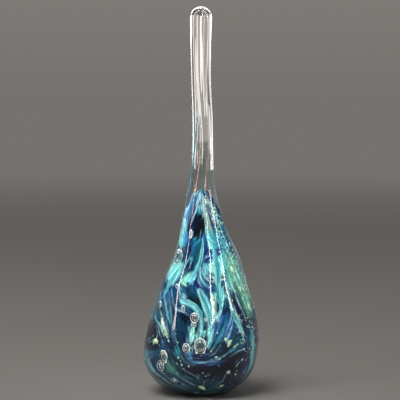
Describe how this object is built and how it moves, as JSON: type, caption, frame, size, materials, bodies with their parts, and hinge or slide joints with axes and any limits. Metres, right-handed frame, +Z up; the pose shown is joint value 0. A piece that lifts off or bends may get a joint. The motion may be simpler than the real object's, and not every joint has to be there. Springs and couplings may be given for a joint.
{
  "type": "art glass ring holder",
  "caption": "Solid art-glass ring holder: a slim clear stem drawn up from a teardrop base with a swirled cobalt core, aqua ribbons, lime frit and air bubbles under clear casing.",
  "frame": {"origin": "middle of the ground foot, on the surface it stands on", "axes": "+Z up along the stem, -Y towards the viewer, +X to the viewer's right"},
  "size_m": [0.0434, 0.0429, 0.1449],
  "materials": {
    "clear_glass": "fire-polished, clear",
    "cobalt_glass": "dense cobalt and navy, fused under clear glass",
    "aqua_glass": "opaline aqua, fused under clear glass",
    "lime_glass": "crushed lime frit, fused under clear glass"
  },
  "bodies": {
    "root": {"clear_stem": "clear_glass", "clear_casing": "clear_glass", "cobalt_core": "cobalt_glass", "aqua_ribbon_01": "aqua_glass", "aqua_ribbon_02": "aqua_glass", "aqua_ribbon_03": "aqua_glass", "aqua_ribbon_04": "aqua_glass", "aqua_ribbon_05": "aqua_glass", "aqua_ribbon_06": "aqua_glass", "aqua_ribbon_07": "aqua_glass", "aqua_ribbon_08": "aqua_glass", "aqua_ribbon_09": "aqua_glass", "aqua_ribbon_10": "aqua_glass", "aqua_ribbon_11": "aqua_glass", "aqua_ribbon_12": "aqua_glass", "aqua_ribbon_13": "aqua_glass", "aqua_ribbon_14": "aqua_glass", "aqua_ribbon_15": "aqua_glass", "lime_frit_chip_01": "lime_glass", "lime_frit_chip_02": "lime_glass", "lime_frit_chip_03": "lime_glass", "lime_frit_chip_04": "lime_glass", "lime_frit_chip_05": "lime_glass", "lime_frit_chip_06": "lime_glass", "lime_frit_chip_07": "lime_glass", "lime_frit_chip_08": "lime_glass", "lime_frit_chip_09": "lime_glass", "lime_frit_chip_10": "lime_glass", "lime_frit_chip_11": "lime_glass", "lime_frit_chip_12": "lime_glass", "lime_frit_chip_13": "lime_glass"}
  },
  "joints": []
}
